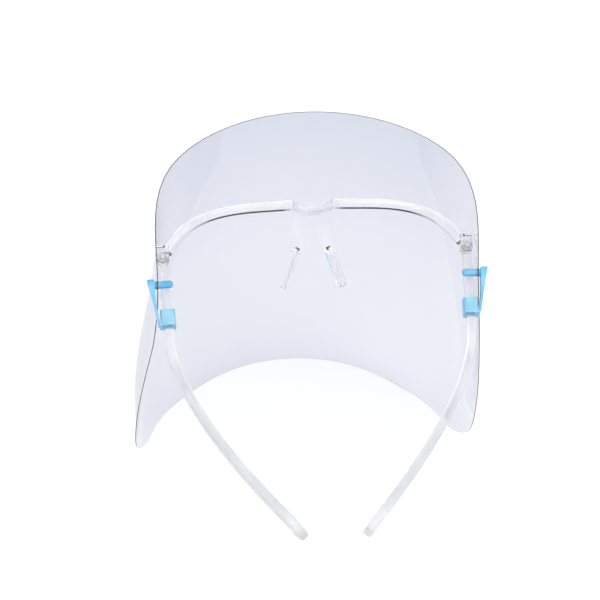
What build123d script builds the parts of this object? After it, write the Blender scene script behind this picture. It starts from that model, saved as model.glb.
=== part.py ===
from build123d import *
import os
from math import cos, radians, sin

os.makedirs("parts", exist_ok=True)

# ---------------------------------------------------------------- driving dimensions (mm)
# The origin is where the bridge rests on the nose, level with the two temple hinges.
# The visor faces -Y, the temples run towards +Y, +Z is up and +X is the wearer's left.

# hinges: a tongue on each temple, between the two cheeks of a knuckle on the frame
hinge_x = 65.3
hinge_y = 13.0
temple_drop = 14.5  # degrees, how far the temples slope down towards the ears
temple_toe_in = 2.4  # degrees, how far their straight front run closes in
pin_radius = 0.9
pin_play = 0.05
pin_head_radius = 1.5
pin_head_height = 0.5
tongue_thickness = 2.0
tongue_gap = 0.15
knuckle_radius = 2.6
knuckle_height = 5.6
knuckle_length = 5.5
tongue_slot_depth = 5.0
knuckle_edge = 0.7

# temples
temple_width = 3.8
temple_height = 4.6
temple_tip_height = 6.4
temple_corner = 0.9
temple_start = 3.1
temple_straight = 36.0
temple_bend_at = 66.5
temple_end = (-41.8, 118.0)
hook_radius = 9.0
hook_angle = 56.0
tip_round = 0.5

# brow bar and bridge
brow_rise = 8.3
brow_depth = 20.4
brow_wrap_power = 6.5
brow_arch_power = 2.2
brow_radius = 2.4
brow_inner = 10.0
brow_reaches = (0.975, 0.9, 0.8, 0.65, 0.4, brow_inner / hinge_x)
bridge_radius = 1.4
bridge_dip = 2.4
bridge_setback = 1.2
bridge_stations = [share * brow_inner for share in (1, 0.5, 0, -0.5, -1)]

# nose piece
saddle_half_length = 7.4
saddle_wall = 0.9
saddle_play = 0.05
leg_width = 4.8
leg_thickness = 1.3
leg_top_x = 6.0
leg_start = (0, 0.2, -1)  # the way a leg leaves the bridge
pad_top = Vector(7.6, 4.4, -10.5)
pad_bottom = Vector(12.2, 11.6, -23.0)
pad_width = 6.6
pad_thickness = 1.8
pad_rim = 1.0
pad_dish = 0.7
pad_overhang = 2.4
pad_splay = 32.0  # degrees, how far the pads turn back towards the face

# visor
visor_thickness = 0.4
visor_shoulder_y = 11.7
visor_front_top = 22.0
visor_top_slope = 0.14
visor_top_corner = 52.0
visor_bottom_corner = 58.0
visor_overrun = 6.0  # how far the sheet is drawn past its rear edges before it is trimmed
visor_side_bow = 0.36  # how much of a side's spread or taper is reached half way back
visor_front_turns = (0, 22.5, 45, 67.5)  # degrees round the front curve, from the side
# one row a level: height, half width at the shoulder, depth of the front curve,
# y of the rear edge and half width there
visor_levels = (
    (-178.0, 76.5, 65.0, 15.0, 80.0),
    (-56.0, 76.0, 62.5, 34.5, 74.8),
    (-4.0, 69.4, 60.5, 42.0, 67.9),
    (36.0, 68.6, 60.0, 48.0, 63.5),
)

# clips: a sleeve round each temple, and a lever outside the visor with a peg through it
sleeve_wall = 1.15
sleeve_play = 0.05
sleeve_start = 24.2
sleeve_end = 31.2
sleeve_corner = 1.3
web_start = 28.9
web_low = -2.5
web_high = 2.9
lever_gap = 3.25  # from the temple's centre line to the lever's inner face at its pivot
lever_thickness = 1.1  # at its pivot
lever_pivot_at = 29.8
lever_pivot_play = 0.05
lever_front = 11.4
lever_spread = 2.95  # how far the lever's outer face stands out more at its front
lever_flare = 0.5  # how far its thumb end curls out beyond that
lever_inner_spread = 1.35  # how far its inner face stands out, to clear the visor
lever_curl_power = 4
lever_edge = 0.45
lever_shares = (0, 0.15, 0.3, 0.5, 0.75, 1)
lever_rear_low = -2.2
lever_rear_high = 2.6
lever_front_low = 1.2
lever_front_high = 6.3
lever_profile_round = 1.2
peg_at = 13.5
peg_radius = 1.6
peg_play = 0.35
peg_over_temple = 0.3
peg_overhang = 1.3
peg_round = 1.3

# ---------------------------------------------------------------- planes and outlines
hinge = Plane(
    origin=(hinge_x, hinge_y, 0),
    x_dir=(1, 0, 0),
    z_dir=(0, sin(radians(temple_drop)), cos(radians(temple_drop))),
)
# x runs outwards from the left temple, y along it and z up through it
arm = hinge.rotated((0, 0, temple_toe_in))
peg_height = temple_height / 2 + peg_over_temple + peg_radius


def across_arm(along):
    """The plane that cuts the left temple square, this far behind the hinge."""
    return Plane(arm.from_local_coords((0, along, 0)), x_dir=arm.x_dir, z_dir=arm.y_dir)


def side_of_arm(outwards, height=0.0):
    """The plane along the left temple, this far outside it, with x rearwards and y up."""
    return Plane(
        arm.from_local_coords((outwards, 0, height)), x_dir=arm.y_dir, z_dir=arm.x_dir
    )


def brow_point(reach):
    """Centre of the brow bar at a fraction of the way from the nose to the left hinge."""
    return (
        reach * hinge_x,
        hinge_y - brow_depth * (1 - reach**brow_wrap_power),
        brow_rise * (1 - reach**brow_arch_power),
    )


def bridge_point(x):
    """Centre of the bridge, which dips and sets back between the two brow bars."""
    _, y, z = brow_point(brow_inner / hinge_x)
    dip = 1 - (x / brow_inner) ** 2
    return (x, y + bridge_setback * dip, z - bridge_dip * dip)


def lever_outer(share):
    """A point of the left lever's outer face in the arm plane, from its pivot to its front."""
    spread = lever_spread * share + lever_flare * share**lever_curl_power
    along = lever_pivot_at + share * (lever_front - lever_pivot_at)
    return (lever_gap + lever_thickness + spread, along)


def lever_inner(share):
    """A point of its inner face, which soon runs alongside the visor."""
    spread = lever_inner_spread * (1 - (1 - share) ** lever_curl_power)
    along = lever_pivot_at + share * (lever_front - lever_pivot_at)
    return (lever_gap + spread, along)


def visor_outline(half_width, depth, rear_y, rear_half_width):
    """Points of a level of the visor, from one rear edge round the front to the other."""
    middle_half_width = half_width + visor_side_bow * (rear_half_width - half_width)
    middle_y = (visor_shoulder_y + rear_y) / 2
    side = [(rear_half_width, rear_y), (middle_half_width, middle_y)]
    for turn in visor_front_turns:
        angle = radians(turn)
        side.append((half_width * cos(angle), visor_shoulder_y - depth * sin(angle)))
    return side + [(0, visor_shoulder_y - depth)] + [(-x, y) for x, y in reversed(side)]


# ---------------------------------------------------------------- visor
with BuildPart() as peg_bores:
    with BuildSketch(side_of_arm(0, peg_height)):
        with Locations((peg_at, 0)):
            Circle(peg_radius + peg_play)
    extrude(amount=lever_gap + lever_spread)
    mirror(about=Plane.YZ)

with BuildPart() as visor:
    for height, half_width, depth, rear_y, rear_half_width in visor_levels:
        grow = 1 + visor_overrun / (rear_y - visor_shoulder_y)
        overrun_y = visor_shoulder_y + grow * (rear_y - visor_shoulder_y)
        overrun_half_width = half_width + grow * (rear_half_width - half_width)
        with BuildSketch(Plane.XY.offset(height)):
            with BuildLine():
                outer = Spline(
                    *visor_outline(half_width, depth, overrun_y, overrun_half_width)
                )
                inner = Spline(
                    *visor_outline(
                        half_width - visor_thickness,
                        depth - visor_thickness,
                        overrun_y,
                        overrun_half_width - visor_thickness,
                    )
                )
                Line(outer @ 0, inner @ 0)
                Line(outer @ 1, inner @ 1)
            make_face()
    loft()
    # side view: a level lower edge, a raked rear edge, a sloping top edge, round corners
    lower_z, _, lower_depth, lower_y, _ = visor_levels[0]
    upper_z, _, upper_depth, upper_y, _ = visor_levels[-1]
    front_y = visor_shoulder_y - lower_depth - visor_overrun
    top_front = visor_front_top + visor_top_slope * (front_y - visor_shoulder_y + upper_depth)
    rake = (upper_y - lower_y) / (upper_z - lower_z)
    rear_rise = top_front + visor_top_slope * (lower_y - front_y) - lower_z
    rear_height = rear_rise / (1 - rake * visor_top_slope)
    with BuildSketch(Plane.YZ):
        with BuildLine():
            Polyline(
                (front_y, lower_z),
                (lower_y, lower_z),
                (lower_y + rake * rear_height, lower_z + rear_height),
                (front_y, top_front),
                close=True,
            )
        make_face()
        fillet(vertices().group_by(Axis.Y)[0].sort_by(Axis.X)[-1], visor_bottom_corner)
        fillet(vertices().sort_by(Axis.X)[-1], visor_top_corner)
    extrude(amount=2 * hinge_x, both=True, mode=Mode.INTERSECT)
    add(peg_bores.part, mode=Mode.SUBTRACT)
visor.part.label = "visor"
export_step(visor.part, "parts/visor.step")

# ---------------------------------------------------------------- frame front
with BuildPart() as frame_front:
    with BuildSketch(hinge.offset(-knuckle_height / 2)):
        Circle(knuckle_radius)
        with Locations((0, -knuckle_length / 2)):
            Rectangle(2 * knuckle_radius, knuckle_length)
    extrude(amount=knuckle_height)
    fillet(faces().filter_by(hinge).edges(), knuckle_edge)
    with BuildLine():
        bar = Spline(*[brow_point(reach) for reach in brow_reaches])
    with BuildSketch(Plane(bar @ 0, z_dir=bar % 0)):
        Circle(brow_radius)
    sweep()
    with Locations(bar @ 1):
        Sphere(brow_radius, rotation=(0, 90, 0))
    with BuildSketch(hinge.offset(-tongue_thickness / 2 - tongue_gap)):
        with Locations((0, knuckle_radius - tongue_slot_depth / 2)):
            Rectangle(3 * knuckle_radius, tongue_slot_depth)
    extrude(amount=tongue_thickness + 2 * tongue_gap, mode=Mode.SUBTRACT)
    with BuildSketch(hinge.offset(-knuckle_height / 2)):
        Circle(pin_radius)
    extrude(amount=knuckle_height, mode=Mode.SUBTRACT)
    mirror(about=Plane.YZ)
    with BuildLine():
        bridge = Spline(*[bridge_point(x) for x in bridge_stations])
    with BuildSketch(Plane(bridge @ 0, z_dir=bridge % 0)):
        Circle(bridge_radius)
    sweep()
frame_front.part.label = "frame_front"
export_step(frame_front.part, "parts/frame_front.step")

# ---------------------------------------------------------------- nose piece
pad_run = (pad_bottom - pad_top).normalized()
pad_turn = Vector(-cos(radians(pad_splay)), sin(radians(pad_splay)), 0)
pad_face = (pad_turn - pad_run * pad_turn.dot(pad_run)).normalized()
pad = Plane((pad_top + pad_bottom) * 0.5, x_dir=pad_run, z_dir=pad_face)
pad_length = (pad_bottom - pad_top).length + 2 * pad_overhang

with BuildPart() as nose_piece:
    leg_root = Vector(*bridge_point(leg_top_x))
    with BuildLine():
        leg = Spline(leg_root, pad_top, tangents=(leg_start, pad_run))
    with BuildSketch(Plane(leg @ 0, x_dir=(1, 0, 0), z_dir=leg % 0)):
        Rectangle(leg_width, leg_thickness)
    sweep()
    with BuildSketch(pad.offset(-pad_thickness / 2)):
        SlotOverall(pad_length, pad_width)
    extrude(amount=pad_thickness)
    with BuildSketch(pad.offset(pad_thickness / 2 - pad_dish)):
        SlotOverall(pad_length - 2 * pad_rim, pad_width - 2 * pad_rim)
    extrude(amount=pad_dish, mode=Mode.SUBTRACT)
    mirror(about=Plane.YZ)
    with BuildLine():
        saddle = Spline(*[bridge_point(x) for x in (saddle_half_length, 0, -saddle_half_length)])
    with BuildSketch(Plane(saddle @ 0, z_dir=saddle % 0)):
        Circle(bridge_radius + saddle_play + saddle_wall)
    sweep()
    with BuildLine():
        Spline(*[bridge_point(x) for x in bridge_stations])
    with BuildSketch(Plane(bridge @ 0, z_dir=bridge % 0)):
        Circle(bridge_radius + saddle_play)
    sweep(mode=Mode.SUBTRACT)
nose_piece.part.label = "nose_piece"
export_step(nose_piece.part, "parts/nose_piece.step")

# ---------------------------------------------------------------- left side
with BuildPart() as hinge_pin_left:
    with BuildSketch(hinge.offset(-knuckle_height / 2)):
        Circle(pin_radius)
    extrude(amount=knuckle_height)
    with BuildSketch(hinge.offset(knuckle_height / 2)):
        Circle(pin_head_radius)
    extrude(amount=pin_head_height)
    with BuildSketch(hinge.offset(-knuckle_height / 2 - pin_head_height)):
        Circle(pin_head_radius)
    extrude(amount=pin_head_height)
hinge_pin_left.part.label = "hinge_pin_left"

with BuildPart() as temple_left:
    with BuildLine(arm):
        Line((0, temple_start), (0, temple_straight))
    with BuildSketch(across_arm(temple_start)):
        RectangleRounded(temple_width, temple_height, temple_corner)
    sweep()
    with BuildLine(arm):
        curve = Bezier((0, temple_straight), (0, temple_bend_at), temple_end)
    tip = curve % 1
    across_tip = Plane(curve @ 1, x_dir=tip.cross(arm.z_dir), z_dir=tip)
    with BuildSketch(across_arm(temple_straight)):
        RectangleRounded(temple_width, temple_height, temple_corner)
    with BuildSketch(across_tip):
        RectangleRounded(temple_width, temple_tip_height, temple_corner)
    sweep(multisection=True)
    hook = Plane(curve @ 1, x_dir=tip, z_dir=arm.z_dir.cross(tip))
    with BuildLine(hook):
        CenterArc((0, hook_radius), hook_radius, -90, hook_angle)
    with BuildSketch(across_tip):
        RectangleRounded(temple_width, temple_tip_height, temple_corner)
    sweep()
    fillet(faces().sort_by(Axis.Z)[0].edges(), tip_round)
    with BuildSketch(arm.offset(-tongue_thickness / 2)):
        Circle(temple_width / 2)
        with Locations((0, temple_start / 2 + temple_corner / 2)):
            Rectangle(temple_width, temple_start + temple_corner)
    extrude(amount=tongue_thickness)
    with BuildSketch(arm.offset(-tongue_thickness / 2)):
        Circle(pin_radius + pin_play)
    extrude(amount=tongue_thickness, mode=Mode.SUBTRACT)
temple_left.part.label = "temple_left"

with BuildPart() as clip_sleeve_left:
    with BuildSketch(across_arm(sleeve_start)):
        RectangleRounded(
            temple_width + 2 * (sleeve_play + sleeve_wall),
            temple_height + 2 * (sleeve_play + sleeve_wall),
            sleeve_corner,
        )
    extrude(amount=sleeve_end - sleeve_start)
    # the web that carries the lever, with a quarter of a socket for its rear end
    pivot_x = lever_gap + lever_thickness / 2
    pivot_radius = lever_thickness / 2 + lever_pivot_play
    with BuildSketch(arm.offset(web_low)):
        with BuildLine():
            Polyline(
                (temple_width / 2, web_start),
                (pivot_x - pivot_radius, web_start),
                (pivot_x - pivot_radius, lever_pivot_at),
                (pivot_x, lever_pivot_at),
                (pivot_x, sleeve_end),
                (temple_width / 2, sleeve_end),
                close=True,
            )
        make_face()
        with Locations((pivot_x, lever_pivot_at)):
            Circle(pivot_radius, mode=Mode.SUBTRACT)
    extrude(amount=web_high - web_low)
    with BuildSketch(across_arm(sleeve_start)):
        RectangleRounded(
            temple_width + 2 * sleeve_play, temple_height + 2 * sleeve_play, temple_corner
        )
    extrude(amount=sleeve_end - sleeve_start, mode=Mode.SUBTRACT)
clip_sleeve_left.part.label = "clip_sleeve_left"

with BuildPart() as clip_lever_left:
    with BuildSketch(arm.offset(lever_rear_low)):
        with BuildLine():
            inner = Spline(*[lever_inner(share) for share in lever_shares])
            outer = Spline(*[lever_outer(share) for share in lever_shares])
            ThreePointArc(inner @ 0, (pivot_x, lever_pivot_at + lever_thickness / 2), outer @ 0)
            Line(inner @ 1, outer @ 1)
        make_face()
        fillet(vertices().group_by(Axis.Y)[0], lever_edge)
    extrude(amount=lever_front_high - lever_rear_low)
    # side view: low and shallow at the pivot, higher and deeper at the thumb end
    rear = lever_pivot_at + lever_thickness
    with BuildSketch(side_of_arm(0)):
        with BuildLine():
            Polyline(
                (rear, lever_rear_low),
                (rear, lever_rear_high),
                (peg_at + peg_radius, lever_front_high),
                (lever_front - lever_edge, lever_front_high),
                (lever_front - lever_edge, lever_front_low),
                (peg_at + peg_radius, lever_front_low),
                close=True,
            )
        make_face()
        fillet(vertices().group_by(Axis.X)[0], lever_profile_round)
    extrude(amount=2 * (lever_gap + lever_spread), mode=Mode.INTERSECT)
    peg_root = lever_gap + lever_inner_spread + lever_thickness / 2
    with BuildSketch(side_of_arm(peg_root, peg_height)):
        with Locations((peg_at, 0)):
            Circle(peg_radius)
    extrude(amount=-(peg_root + temple_width / 2 + peg_overhang))
    fillet(edges().filter_by(GeomType.CIRCLE).sort_by(Axis.X)[0], peg_round)
clip_lever_left.part.label = "clip_lever_left"

# ---------------------------------------------------------------- right side
for left in (hinge_pin_left, temple_left, clip_sleeve_left, clip_lever_left):
    export_step(left.part, f"parts/{left.part.label}.step")
    with BuildPart() as right:
        mirror(left.part, about=Plane.YZ)
    right.part.label = left.part.label.replace("left", "right")
    export_step(right.part, f"parts/{right.part.label}.step")
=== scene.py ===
from math import cos, pi, radians, sin

import bmesh
import bpy
import numpy as np
from mathutils import Matrix, Vector


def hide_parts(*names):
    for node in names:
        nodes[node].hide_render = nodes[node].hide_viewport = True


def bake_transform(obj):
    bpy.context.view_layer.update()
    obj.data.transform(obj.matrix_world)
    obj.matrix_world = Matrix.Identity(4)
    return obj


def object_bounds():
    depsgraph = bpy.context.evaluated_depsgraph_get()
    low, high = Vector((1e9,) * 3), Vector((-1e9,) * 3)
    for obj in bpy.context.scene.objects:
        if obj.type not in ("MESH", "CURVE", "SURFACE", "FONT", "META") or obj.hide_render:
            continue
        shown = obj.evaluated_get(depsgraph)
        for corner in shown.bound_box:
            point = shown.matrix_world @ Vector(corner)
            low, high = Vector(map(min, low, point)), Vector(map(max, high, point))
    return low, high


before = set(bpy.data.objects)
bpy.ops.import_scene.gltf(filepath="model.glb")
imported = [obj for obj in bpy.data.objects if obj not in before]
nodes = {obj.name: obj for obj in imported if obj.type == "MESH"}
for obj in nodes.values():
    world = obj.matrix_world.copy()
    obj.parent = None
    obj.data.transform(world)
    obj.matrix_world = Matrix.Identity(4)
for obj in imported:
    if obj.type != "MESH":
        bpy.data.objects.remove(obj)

# A clear face shield on a half-rim glasses frame. Metres; -Y is the front of the visor, +Y runs
# along the temples towards the ears, +Z is up and +X is the wearer's left.

cad_low, cad_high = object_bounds()
scene = bpy.context.scene
scene.view_settings.view_transform = "Standard"

# ---------------------------------------------------------------- camera
CAMERA_TARGET = Vector((0.00536, 0.01237, -0.03473))
CAMERA_DISTANCE = 0.8
CAMERA_AZIMUTH = radians(172.58)
CAMERA_ELEVATION = radians(54)
CAMERA_ROLL = radians(3.69)
CAMERA_LENS_MM = 108.08


def add_camera():
    """Looks down on the open side of the shield, from behind and a little to its left."""
    level = cos(CAMERA_ELEVATION)
    back = Vector((
        sin(CAMERA_AZIMUTH) * level,
        -cos(CAMERA_AZIMUTH) * level,
        sin(CAMERA_ELEVATION),
    ))
    data = bpy.data.cameras.new("camera")
    data.lens = CAMERA_LENS_MM
    data.clip_start = 0.01
    camera = bpy.data.objects.new("camera", data)
    scene.collection.objects.link(camera)
    turn = back.to_track_quat("Z", "Y").to_matrix().to_4x4()
    place = Matrix.Translation(CAMERA_TARGET + back * CAMERA_DISTANCE)
    camera.matrix_world = place @ turn @ Matrix.Rotation(CAMERA_ROLL, 4, "Z")
    scene.camera = camera


add_camera()

# ---------------------------------------------------------------- node helpers
GRAIN_DETAIL = 3.0
GLANCING_POWER = 5.0
HEAD_ON_SHARE = 0.04
GLANCING_LIMIT = 0.6


def new_material(name):
    """An empty material, its node tree and its output."""
    material = bpy.data.materials.new(name)
    material.use_nodes = True
    tree = material.node_tree
    tree.nodes.clear()
    output = tree.nodes.new("ShaderNodeOutputMaterial")
    return material, tree, output


def node(tree, kind, **inputs):
    """Adds a node; keys with a capital letter are inputs, the others are its own settings."""
    made = tree.nodes.new(kind)
    for key, value in inputs.items():
        if key[0].islower():
            setattr(made, key, value)
        elif isinstance(value, bpy.types.NodeSocket):
            tree.links.new(value, made.inputs[key.replace("_", " ")])
        else:
            made.inputs[key.replace("_", " ")].default_value = value
    return made


def grain(tree, scale, stretch=(1, 1, 1)):
    """Noise laid in the piece's own coordinates."""
    place = node(tree, "ShaderNodeTexCoord")
    mapping = node(tree, "ShaderNodeMapping", Vector=place.outputs["Object"], Scale=stretch)
    return node(
        tree, "ShaderNodeTexNoise", Vector=mapping.outputs[0], Scale=scale, Detail=GRAIN_DETAIL
    ).outputs["Fac"]


def ramp(tree, value, stops):
    """A colour ramp from (position, colour) stops; a single number is a grey."""
    made = node(tree, "ShaderNodeValToRGB", Fac=value)
    elements = made.color_ramp.elements
    while len(elements) < len(stops):
        elements.new(0.5)
    for element, (position, colour) in zip(elements, stops):
        if isinstance(colour, float):
            colour = (colour,) * 3
        element.position = position
        element.color = (*colour, 1)
    return made.outputs["Color"]


def ranged(tree, value, start=0.0, end=1.0, low=0.0, high=1.0):
    """A value read from start to end and laid out from low to high, which may be sockets."""
    return node(
        tree, "ShaderNodeMapRange", Value=value,
        From_Min=start, From_Max=end, To_Min=low, To_Max=high,
    ).outputs[0]


def own_place(tree, axis):
    """Where a point lies along one of the piece's own axes."""
    place = node(tree, "ShaderNodeTexCoord")
    return node(tree, "ShaderNodeSeparateXYZ", Vector=place.outputs["Object"]).outputs[axis]


def edge_on(tree):
    return node(tree, "ShaderNodeLayerWeight", Blend=0.5).outputs["Facing"]


def glancing_share(tree):
    """How much light a clear surface turns back: little head on, and more at a glance."""
    steep = node(tree, "ShaderNodeMath", operation="POWER")
    tree.links.new(edge_on(tree), steep.inputs[0])
    steep.inputs[1].default_value = GLANCING_POWER
    return ranged(tree, steep.outputs[0], low=HEAD_ON_SHARE, high=GLANCING_LIMIT)


def bumped(tree, height, distance):
    return node(tree, "ShaderNodeBump", Height=height, Distance=distance, Strength=1.0).outputs[0]


def along_share(tree, axis, start, end):
    """0 at start and 1 at end, in between along one of the piece's own axes."""
    return ranged(tree, own_place(tree, axis), start, end)


def towards_share(tree, direction, start, end):
    """0 to 1 as the surface turns to face a fixed direction of the piece."""
    faces = node(tree, "ShaderNodeTexCoord").outputs["Normal"]
    dot = node(tree, "ShaderNodeVectorMath", operation="DOT_PRODUCT")
    tree.links.new(faces, dot.inputs[0])
    dot.inputs[1].default_value = direction
    return ranged(tree, dot.outputs["Value"], start, end)


def rim_shade_share(tree, start, end):
    """0 to 1 as the surface turns edge-on; it drives the painted rim shade."""
    return ranged(tree, edge_on(tree), start, end)


def times(tree, first, second):
    made = node(tree, "ShaderNodeMath", operation="MULTIPLY")
    tree.links.new(first, made.inputs[0])
    tree.links.new(second, made.inputs[1])
    return made.outputs[0]


def mixed(tree, share, first, second):
    """Two colours mixed; each is a socket or a colour."""
    made = node(tree, "ShaderNodeMix", data_type="RGBA")
    tree.links.new(share, made.inputs["Factor"])
    for key, value in (("A", first), ("B", second)):
        if isinstance(value, bpy.types.NodeSocket):
            tree.links.new(value, made.inputs[key])
        else:
            made.inputs[key].default_value = (*value, 1)
    return made.outputs["Result"]


# ---------------------------------------------------------------- materials
HINGE_X = 0.0653
HINGE_Y = 0.013
STRAIGHT_UP = (0, 0, 1)
BAR_TOP = (0, 0.2, 0.98)
CLIP_TOP = (0, 0.25, 0.97)
REAR_UNDERSIDE = (0, 0.81, -0.59)
REAR_TOP = (0, 0.59, 0.81)
SMUDGE_SCALE = 35.0
SHEET_BUMP = 0.0001
EDGE_BUMP = 0.00002
MOULDED_BUMP = 0.00005
BLUE_CLEARNESS = 0.4
# the dark line of shade painted along the rear of the brow bars
SHADE_LINE_COLOUR = (0.02, 0.02, 0.03)
SHADE_LINE_ROUGHNESS = 0.65
SHADE_LINE_CLEARNESS = 0.15


def gloss_film(tree, output, tint, share):
    """A tinted see-through film, with a share of gloss broken up by faint smudges."""
    clear = node(tree, "ShaderNodeBsdfTransparent", Color=tint)
    smudge = ramp(tree, grain(tree, SMUDGE_SCALE), [(0.35, 0.03), (0.75, 0.09)])
    ripple = bumped(tree, grain(tree, 18.0), SHEET_BUMP)
    gloss = node(
        tree, "ShaderNodeBsdfGlossy", Color=(1, 1, 1, 1), Roughness=smudge, Normal=ripple
    )
    mix = node(tree, "ShaderNodeMixShader", Fac=share)
    tree.links.new(clear.outputs[0], mix.inputs[1])
    tree.links.new(gloss.outputs[0], mix.inputs[2])
    tree.links.new(mix.outputs[0], output.inputs["Surface"])


def visor_sheet():
    """A thin clear film: it lets most light through, least at the top of its front."""
    material, tree, output = new_material("visor_sheet")
    height = along_share(tree, "Z", cad_low.z, cad_high.z)
    front = ramp(tree, height, [
        (0.0, (0.87, 0.88, 0.91)),
        (0.55, (0.83, 0.841, 0.877)),
        (1.0, (0.755, 0.772, 0.825)),
    ])
    side = ramp(tree, height, [
        (0.0, (0.81, 0.825, 0.855)),
        (0.35, (0.87, 0.878, 0.905)),
        (1.0, (0.845, 0.852, 0.88)),
    ])
    tint = mixed(tree, along_share(tree, "Y", -0.03, 0.01), front, side)
    gloss_film(tree, output, tint, glancing_share(tree))
    return material


def visor_seam():
    """Where the two halves of the sheet meet: it hardly dims what is behind it."""
    material, tree, output = new_material("visor_seam")
    marks = grain(tree, SMUDGE_SCALE)
    tint = ramp(tree, marks, [(0.3, (0.992, 0.994, 0.996)), (0.7, 1.0)])
    share = ramp(tree, marks, [(0.3, 0.0), (0.7, 0.004)])
    gloss_film(tree, output, tint, share)
    return material


def visor_edge():
    """The sheet's cut edge, painted as a dark grey line of shade where it refracts, pale lower
    down.
    """
    material, tree, output = new_material("visor_edge")
    height = along_share(tree, "Z", cad_low.z, cad_low.z + 0.05)
    # painted shade: the edge goes from pale at the lower edge to dark grey higher up
    shade = ramp(tree, height, [
        (0.0, (0.86, 0.87, 0.9)),
        (0.15, (0.7, 0.71, 0.75)),
        (1.0, (0.06, 0.06, 0.08)),
    ])
    cover = ramp(tree, height, [(0.0, 0.3), (0.7, 1.0)])
    surface = node(
        tree, "ShaderNodeBsdfPrincipled", Base_Color=shade, Roughness=0.4, Alpha=cover,
        Normal=bumped(tree, grain(tree, 900.0), EDGE_BUMP),
    )
    tree.links.new(surface.outputs[0], output.inputs["Surface"])
    return material


def clear_plastic(name, tint, flow, clearness, rim, roughness, ior, line=None):
    """Moulded clear plastic from its own tint, flow marks, clearness, painted rim shade and a
    painted dark line of shade.
    """
    material, tree, output = new_material(name)
    marks = flow(tree)
    smooth, rough = roughness
    polish = ranged(tree, marks, low=smooth, high=rough)
    # rim paints shade onto the colour where the surface turns edge-on
    colour = rim(tree, tint(tree, marks))
    clear = clearness(tree)
    # the line paints a dark strip of shade over the colour, rougher and less clear
    if line:
        share = line(tree)
        colour = mixed(tree, share, colour, SHADE_LINE_COLOUR)
        polish = ranged(tree, share, low=polish, high=SHADE_LINE_ROUGHNESS)
        clear = ranged(tree, share, low=clear, high=SHADE_LINE_CLEARNESS)
    surface = node(
        tree, "ShaderNodeBsdfPrincipled", Base_Color=colour, Roughness=polish, IOR=ior,
        Normal=bumped(tree, marks, MOULDED_BUMP), Transmission_Weight=clear,
    )
    tree.links.new(surface.outputs[0], output.inputs["Surface"])
    return material


def frame_front_plastic():
    """Brow bars: pale and less clear on top, a painted highlight, with a painted dark line of
    shade along their rear.
    """
    def bars(tree):
        """1 along the bars, 0 at the bridge and the hinge blocks."""
        across = node(tree, "ShaderNodeMath", operation="ABSOLUTE")
        tree.links.new(own_place(tree, "X"), across.inputs[0])
        share = ranged(tree, across.outputs[0], end=HINGE_X)
        return ramp(tree, share, [(0.13, 0.0), (0.2, 1.0), (0.66, 1.0), (0.88, 0.0)])

    def tint(tree, marks):
        return ramp(tree, marks, [(0.35, (0.9, 0.905, 0.94)), (0.65, (0.99, 0.99, 1.0))])

    def rim(tree, colour):
        # painted shade: grey where the bar turns edge-on
        return mixed(tree, rim_shade_share(tree, 0.5, 0.95), colour, (0.5, 0.5, 0.56))

    def line(tree):
        """A narrow strip of painted shade between the bar's top and its underside."""
        under_top = times(tree, towards_share(tree, REAR_TOP, 0.74, 0.66), bars(tree))
        strip = times(tree, under_top, towards_share(tree, REAR_TOP, 0.1, 0.2))
        return times(tree, strip, towards_share(tree, REAR_UNDERSIDE, 0.3, 0.6))

    def clearness(tree):
        # painted highlight: the bars' tops are less clear, so they show whiter
        up = times(tree, towards_share(tree, BAR_TOP, 0.1, 0.95), bars(tree))
        return ramp(tree, up, [(0.0, 0.97), (1.0, 0.68)])

    def flow(tree):
        return grain(tree, 130.0, stretch=(0.4, 1, 1))

    return clear_plastic("clear_frame", tint, flow, clearness, rim, (0.03, 0.09), 1.5, line)


def temple_plastic():
    """Temples: clear, pale near the hinge and greyer towards their tips, with a thin rim of
    painted shade.
    """
    def tint(tree, marks):
        near = ramp(tree, marks, [(0.42, (0.86, 0.865, 0.89)), (0.62, (0.99, 0.99, 1.0))])
        far = ramp(tree, marks, [(0.42, (0.71, 0.712, 0.735)), (0.68, (0.77, 0.775, 0.8))])
        tip = ramp(tree, marks, [(0.42, (0.8, 0.8, 0.82)), (0.68, (0.86, 0.86, 0.885))])
        length = mixed(tree, along_share(tree, "Y", 0.055, 0.095), near, far)
        return mixed(tree, along_share(tree, "Y", 0.118, 0.128), length, tip)

    def rim(tree, colour):
        # painted shade: grey where the temple turns edge-on
        return mixed(tree, rim_shade_share(tree, 0.6, 1.0), colour, (0.5, 0.5, 0.55))

    def clearness(tree):
        tip = along_share(tree, "Y", 0.1, 0.128)
        return ramp(tree, tip, [(0.0, 0.82), (1.0, 0.45)])

    def flow(tree):
        return grain(tree, 170.0, stretch=(1, 0.1, 1))

    return clear_plastic("clear_temple", tint, flow, clearness, rim, (0.05, 0.12), 1.45)


def nose_plastic(name, rim_shade_colour, roughness, ior):
    """The nose piece: softer and paler than the frame."""
    def tint(tree, marks):
        return ramp(tree, marks, [(0.3, (0.93, 0.935, 0.95)), (0.7, (0.99, 0.99, 1.0))])

    def rim(tree, colour):
        # painted shade: the given grey where the piece turns edge-on
        return mixed(tree, rim_shade_share(tree, 0.6, 1.0), colour, rim_shade_colour)

    def clearness(tree):
        # painted highlight: upward faces are a little less clear, so their tops show paler
        up = towards_share(tree, STRAIGHT_UP, 0.2, 1.0)
        return ramp(tree, up, [(0.0, 1.0), (1.0, 0.85)])

    def flow(tree):
        return grain(tree, 160.0)

    return clear_plastic(name, tint, flow, clearness, rim, roughness, ior)


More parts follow.
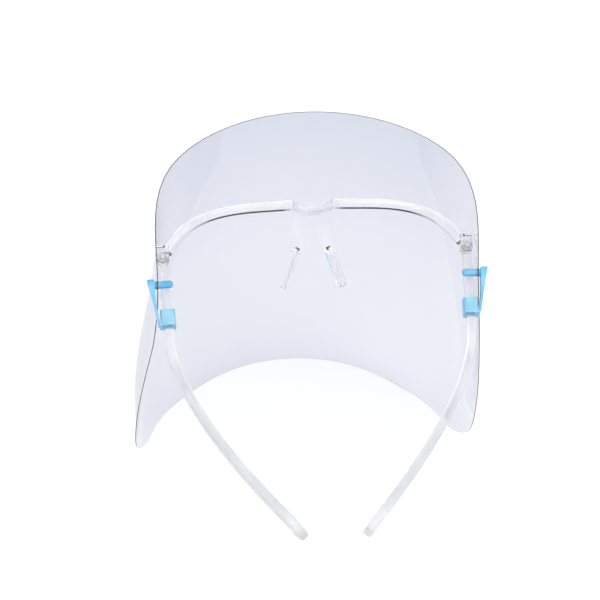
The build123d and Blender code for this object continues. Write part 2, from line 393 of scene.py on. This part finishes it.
def pin_plastic():
    """Hinge pins: clear, with a grey rim of painted shade."""
    def tint(tree, marks):
        return ramp(tree, marks, [(0.3, (0.84, 0.845, 0.87)), (0.7, (0.93, 0.935, 0.95))])

    def rim(tree, colour):
        # painted shade: grey where the pin turns edge-on
        return mixed(tree, rim_shade_share(tree, 0.4, 0.9), colour, (0.35, 0.35, 0.4))

    def clearness(tree):
        # painted highlight: upward faces are a little less clear, so their tops show paler
        up = towards_share(tree, STRAIGHT_UP, 0.2, 1.0)
        return ramp(tree, up, [(0.0, 1.0), (1.0, 0.8)])

    def flow(tree):
        return grain(tree, 400.0)

    return clear_plastic("clear_pin", tint, flow, clearness, rim, (0.05, 0.12), 1.5)


def blue_plastic(name, deep, light, side):
    """Translucent light blue plastic, streaky inside, with painted shade that makes it deeper on
    its sides.
    """
    material, tree, output = new_material(name)
    streaks = ramp(tree, grain(tree, 190.0, stretch=(1, 0.5, 1)), [(0.38, deep), (0.62, light)])
    # painted shade: faces turned away from the top take the deeper side colour
    tint = mixed(tree, towards_share(tree, CLIP_TOP, 0.3, 0.9), side, streaks)
    surface = node(
        tree, "ShaderNodeBsdfPrincipled", Base_Color=tint, Roughness=0.22, IOR=1.46,
        Normal=bumped(tree, grain(tree, 700.0), MOULDED_BUMP),
        Transmission_Weight=BLUE_CLEARNESS,
    )
    tree.links.new(surface.outputs[0], output.inputs["Surface"])
    return material


SHEET = visor_sheet()
EDGE = visor_edge()
SEAM = visor_seam()
FRAME = frame_front_plastic()
TEMPLE = temple_plastic()
# the second value of each is the grey of its painted rim shade
NOSE_LEGS = nose_plastic("clear_nose_legs", (0.9, 0.9, 0.93), (0.15, 0.28), 1.1)
NOSE_PADS = nose_plastic("clear_nose_pads", (0.6, 0.6, 0.64), (0.04, 0.1), 1.38)
PIN = pin_plastic()
# the last colour of each is the deeper blue of its painted shade on the sides
SLEEVE = blue_plastic(
    "blue_sleeve", (0.30, 0.72, 0.93), (0.50, 0.87, 0.99), (0.17, 0.60, 0.90)
)
LEVER = blue_plastic(
    "blue_lever", (0.14, 0.56, 0.88), (0.30, 0.71, 0.95), (0.10, 0.49, 0.85)
)
VISOR_FINISHES = (SHEET, EDGE, SEAM)
SHEET_SLOT, EDGE_SLOT, SEAM_SLOT = range(3)

# ---------------------------------------------------------------- visor
ARM_TOE_IN = radians(2.4)
ARM_DROP = radians(14.5)
PEG_AT = 0.0135
PEG_HEIGHT = 0.0042
BORE_RADIUS = 0.00195
BORE_REACH = 0.008
BORE_SIDES = 24
SHEET_THICKNESS = 0.0004
SHOULDER_Y = 0.0117
FRONT_TOP = 0.022
TOP_SLOPE = 0.14
TOP_CORNER = 0.052
BOTTOM_CORNER = 0.058
SIDE_BOW = 0.36
OVERRUN = 0.006
FRONT_TURNS = (0, 22.5, 45, 67.5, 90)
HALF_COLUMNS = 65
CORNER_ROWS = 18
STRAIGHT_ROWS = 22
HEIGHT_PASSES = 4
SHARP_ANGLE = radians(40)
# height, half width at the shoulder, depth of the front curve, y of the rear edge, and
# the half width there
LEVELS = (
    (-0.178, 0.0765, 0.065, 0.015, 0.080),
    (-0.056, 0.076, 0.0625, 0.0345, 0.0748),
    (-0.004, 0.0694, 0.0605, 0.042, 0.0679),
    (0.036, 0.0686, 0.060, 0.048, 0.0635),
)


def smooth_line(points, shares):
    """A natural cubic through points, by chord length, read at shares of that length."""
    points = np.array(points, float)
    steps = np.linalg.norm(np.diff(points, axis=0), axis=1)
    at = np.concatenate([[0], np.cumsum(steps)])
    n = len(points)
    lines, right = np.eye(n), np.zeros_like(points)
    for i in range(1, n - 1):
        lines[i, i - 1: i + 2] = steps[i - 1], 2 * (steps[i - 1] + steps[i]), steps[i]
        right[i] = 6 * (
            (points[i + 1] - points[i]) / steps[i] - (points[i] - points[i - 1]) / steps[i - 1]
        )
    bend = np.linalg.solve(lines, right)
    s = np.array(shares) * at[-1]
    i = np.clip(np.searchsorted(at, s) - 1, 0, n - 2)
    h, a, b = steps[i][:, None], (at[i + 1] - s)[:, None], (s - at[i])[:, None]
    return (
        (bend[i] * a**3 + bend[i + 1] * b**3) / (6 * h)
        + (points[i] / h - bend[i] * h / 6) * a
        + (points[i + 1] / h - bend[i + 1] * h / 6) * b
    )


def level_line(level, inset, shares):
    """Half of one level's outline, from the front's middle to past the rear edge."""
    _, half_width, depth, rear_y, rear_half_width = level
    grow = 1 + OVERRUN / (rear_y - SHOULDER_Y)
    rear_half_width = half_width + grow * (rear_half_width - half_width) - inset
    rear_y = SHOULDER_Y + grow * (rear_y - SHOULDER_Y)
    half_width, depth = half_width - inset, depth - inset
    front = [
        (half_width * cos(radians(t)), SHOULDER_Y - depth * sin(radians(t))) for t in FRONT_TURNS
    ]
    middle = (half_width + SIDE_BOW * (rear_half_width - half_width), (SHOULDER_Y + rear_y) / 2)
    half = [(rear_half_width, rear_y), middle, *front]
    whole = half + [(-x, y) for x, y in reversed(half[:-1])]
    return smooth_line(whole, [0.5 - 0.5 * share for share in shares])


class Sheet:
    """One face of the visor: a point for each share round its half outline and height."""

    SAMPLES = np.linspace(0, 1, 241)

    def __init__(self, inset):
        self.lines = [level_line(level, inset, self.SAMPLES) for level in LEVELS]
        self.heights = [level[0] for level in LEVELS]

    def line_at(self, z):
        """The half outline at height z, by the cubic through the four levels."""
        total = 0
        for i, line in enumerate(self.lines):
            weight = 1.0
            for j, other in enumerate(self.heights):
                if j != i:
                    weight *= (z - other) / (self.heights[i] - other)
            total = total + weight * line
        return total

    def row(self, rise, end_y, columns):
        """Points at a share of the way up from the lower edge, from the middle to end_y."""
        lower = self.heights[0]
        rear_line = self.line_at(lower + rise * (top_height(end_y) - lower))
        end = np.interp(end_y, rear_line[:, 1], self.SAMPLES)
        found = []
        for share in columns:
            z = lower + rise * (FRONT_TOP - lower)
            for _ in range(HEIGHT_PASSES):
                line = self.line_at(z)
                x = np.interp(share * end, self.SAMPLES, line[:, 0])
                y = np.interp(share * end, self.SAMPLES, line[:, 1])
                z = lower + rise * (top_height(y) - lower)
            found.append((x, y, z))
        return found


def top_height(y):
    """Height of the visor's upper edge, which slopes up towards the rear."""
    return FRONT_TOP + TOP_SLOPE * (y - SHOULDER_Y + LEVELS[-1][2])


def corner_arc(before, corner, after, radius, count):
    """Points of the arc that rounds a corner of an outline."""
    before, corner, after = (np.array(p, float) for p in (before, corner, after))
    back = (before - corner) / np.linalg.norm(before - corner)
    on = (after - corner) / np.linalg.norm(after - corner)
    half = np.arccos(np.clip(back @ on, -1, 1)) / 2
    middle = corner + (back + on) / np.linalg.norm(back + on) * radius / sin(half)
    start = corner + back * radius / np.tan(half) - middle
    end = corner + on * radius / np.tan(half) - middle
    turn = np.arccos(np.clip(start @ end / radius**2, -1, 1))
    side = (end - start * cos(turn)) / sin(turn)
    return [middle + start * cos(t) + side * sin(t) for t in np.linspace(0, turn, count)]


def rear_edge():
    """(y, z) points up the rear edge in side view, from the lower edge round to the top one."""
    lower_z, _, _, lower_y, _ = LEVELS[0]
    upper_z, _, _, upper_y, _ = LEVELS[-1]
    rake = (upper_y - lower_y) / (upper_z - lower_z)
    rise = (top_height(lower_y) - lower_z) / (1 - rake * TOP_SLOPE)
    upper = (lower_y + rake * rise, lower_z + rise)
    lower = (lower_y, lower_z)
    bottom = corner_arc((lower_y - 1, lower_z), lower, upper, BOTTOM_CORNER, CORNER_ROWS)
    top_before = (upper[0] - 1, upper[1] - TOP_SLOPE)
    top = corner_arc(lower, upper, top_before, TOP_CORNER, CORNER_ROWS)
    straight = [
        bottom[-1] + (top[0] - bottom[-1]) * share
        for share in np.linspace(0, 1, STRAIGHT_ROWS + 2)[1:-1]
    ]
    return bottom + straight + top


def bore_for_peg(piece, side):
    """Cuts the round hole that the clip's peg passes through."""
    level, drop = cos(ARM_DROP), sin(ARM_DROP)
    across = Vector((cos(ARM_TOE_IN), sin(ARM_TOE_IN) * level, -sin(ARM_TOE_IN) * drop))
    along = Vector((-sin(ARM_TOE_IN), cos(ARM_TOE_IN) * level, -cos(ARM_TOE_IN) * drop))
    up = Vector((0, drop, level))
    start = Vector((HINGE_X, HINGE_Y, 0)) + along * PEG_AT + up * PEG_HEIGHT
    mesh = bmesh.new()
    rings = []
    for reach in (0.0, BORE_REACH):
        ring = []
        for i in range(BORE_SIDES):
            turn = 2 * pi * i / BORE_SIDES
            rim = along * cos(turn) * BORE_RADIUS + up * sin(turn) * BORE_RADIUS
            point = start + across * reach + rim
            ring.append(mesh.verts.new((side * point.x, point.y, point.z)))
        rings.append(ring)
    for i in range(BORE_SIDES):
        j = (i + 1) % BORE_SIDES
        wall = mesh.faces.new((rings[0][i], rings[0][j], rings[1][j], rings[1][i]))
        wall.material_index = EDGE_SLOT
    mesh.faces.new(rings[0])
    mesh.faces.new(rings[1])
    bmesh.ops.recalc_face_normals(mesh, faces=mesh.faces)
    data = bpy.data.meshes.new("bore")
    mesh.to_mesh(data)
    mesh.free()
    for finish in VISOR_FINISHES:
        data.materials.append(finish)
    cutter = bpy.data.objects.new("bore", data)
    scene.collection.objects.link(cutter)
    cut = piece.modifiers.new("bore", "BOOLEAN")
    cut.object = cutter
    cut.operation = "DIFFERENCE"
    bored = piece.evaluated_get(bpy.context.evaluated_depsgraph_get())
    result = bpy.data.meshes.new_from_object(bored)
    piece.modifiers.clear()
    whole = piece.data
    piece.data = result
    result.name = whole.name + "_mesh"
    bpy.data.meshes.remove(whole)
    bpy.data.objects.remove(cutter)
    bpy.data.meshes.remove(data)


def half_visor(name, side):
    """Half of the visor as a closed sheet, on the side of one temple."""
    columns = np.linspace(0, 1, HALF_COLUMNS)
    edge = rear_edge()
    lower = LEVELS[0][0]
    grids = []
    for face in (Sheet(0.0), Sheet(SHEET_THICKNESS)):
        grid = []
        for y, z in edge:
            rise = (z - lower) / (top_height(y) - lower)
            grid.append(face.row(rise, y, columns))
        grids.append(grid)
    mesh = bmesh.new()
    outer, inner = [
        [[mesh.verts.new((side * x, y, z)) for x, y, z in row] for row in grid]
        for grid in grids
    ]
    rows, across = len(edge), len(columns)

    def quad(a, b, c, d, slot):
        order = (a, b, c, d) if side > 0 else (d, c, b, a)
        made = mesh.faces.new(order)
        made.material_index = slot
        made.smooth = True

    for i in range(rows - 1):
        for j in range(across - 1):
            quad(outer[i][j], outer[i][j + 1], outer[i + 1][j + 1], outer[i + 1][j], SHEET_SLOT)
            quad(inner[i + 1][j], inner[i + 1][j + 1], inner[i][j + 1], inner[i][j], SHEET_SLOT)
        quad(outer[i][-1], inner[i][-1], inner[i + 1][-1], outer[i + 1][-1], EDGE_SLOT)
        quad(inner[i][0], outer[i][0], outer[i + 1][0], inner[i + 1][0], SEAM_SLOT)
    for j in range(across - 1):
        quad(inner[0][j], inner[0][j + 1], outer[0][j + 1], outer[0][j], EDGE_SLOT)
        quad(outer[-1][j], outer[-1][j + 1], inner[-1][j + 1], inner[-1][j], EDGE_SLOT)
    data = bpy.data.meshes.new(name)
    mesh.to_mesh(data)
    mesh.free()
    for finish in VISOR_FINISHES:
        data.materials.append(finish)
    piece = bpy.data.objects.new(name, data)
    scene.collection.objects.link(piece)
    bore_for_peg(piece, side)
    piece.data.set_sharp_from_angle(angle=SHARP_ANGLE)
    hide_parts("visor")
    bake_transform(piece)


half_visor("visor_left_half", 1)
half_visor("visor_right_half", -1)

# ---------------------------------------------------------------- CAD pieces
PAD_TOP_Z = -0.0088
FINISHES = {
    "frame_front": FRAME,
    "temple_left": TEMPLE,
    "temple_right": TEMPLE,
    "hinge_pin_left": PIN,
    "hinge_pin_right": PIN,
    "clip_sleeve_left": SLEEVE,
    "clip_sleeve_right": SLEEVE,
    "clip_lever_left": LEVER,
    "clip_lever_right": LEVER,
}
for name, finish in FINISHES.items():
    nodes[name].data.materials.clear()
    nodes[name].data.materials.append(finish)

# thin legs hang the thicker pads from the bridge
nose = nodes["nose_piece"].data
nose.materials.clear()
nose.materials.append(NOSE_LEGS)
nose.materials.append(NOSE_PADS)
for polygon in nose.polygons:
    polygon.material_index = int(polygon.center.z < PAD_TOP_Z)

# ---------------------------------------------------------------- stage and light
FLOOR_SIZE = 6.0
OVERHEAD = 1.12
HORIZON_AROUND = 0.9
HORIZON_AHEAD = 0.4


def add_floor():
    material, tree, output = new_material("floor")
    shade = ramp(tree, grain(tree, 3.0), [(0.3, 0.96), (0.7, 0.98)])
    surface = node(tree, "ShaderNodeBsdfDiffuse", Color=shade)
    tree.links.new(surface.outputs[0], output.inputs["Surface"])
    data = bpy.data.meshes.new("floor")
    mesh = bmesh.new()
    bmesh.ops.create_grid(mesh, x_segments=1, y_segments=1, size=FLOOR_SIZE / 2)
    bmesh.ops.translate(mesh, verts=mesh.verts, vec=(0, 0, cad_low.z))
    mesh.to_mesh(data)
    mesh.free()
    data.materials.append(material)
    floor = bpy.data.objects.new("floor", data)
    scene.collection.objects.link(floor)


def add_area(name, place, aim, size, power):
    data = bpy.data.lights.new(name, "AREA")
    data.shape = "SQUARE"
    data.size = size
    data.energy = power
    light = bpy.data.objects.new(name, data)
    light.location = place
    light.rotation_euler = (Vector(aim) - Vector(place)).to_track_quat("-Z", "Y").to_euler()
    scene.collection.objects.link(light)


def add_world():
    """White overhead, with a grey band at the horizon that is darkest in front of the visor."""
    world = bpy.data.worlds.new("studio")
    world.use_nodes = True
    tree = world.node_tree
    towards = node(tree, "ShaderNodeTexCoord").outputs["Generated"]
    split = node(tree, "ShaderNodeSeparateXYZ", Vector=towards)
    height = ramp(tree, split.outputs["Z"], [(0.0, 0.0), (0.12, 0.0), (0.55, 1.0), (1.0, 1.0)])
    horizon = ranged(tree, split.outputs["Y"], -0.9, 0.1, HORIZON_AHEAD, HORIZON_AROUND)
    strength = ranged(tree, height, low=horizon, high=OVERHEAD)
    tree.links.new(strength, tree.nodes["Background"].inputs["Strength"])
    tree.nodes["Background"].inputs["Color"].default_value = (1, 1, 1, 1)
    scene.world = world


add_floor()
add_world()
add_area("key", (-0.7, 0.2, 1.1), (0, 0, -0.05), 0.9, 4.5)
add_area("fill", (0.9, 0.9, 0.9), (0, 0, -0.05), 1.0, 2.5)
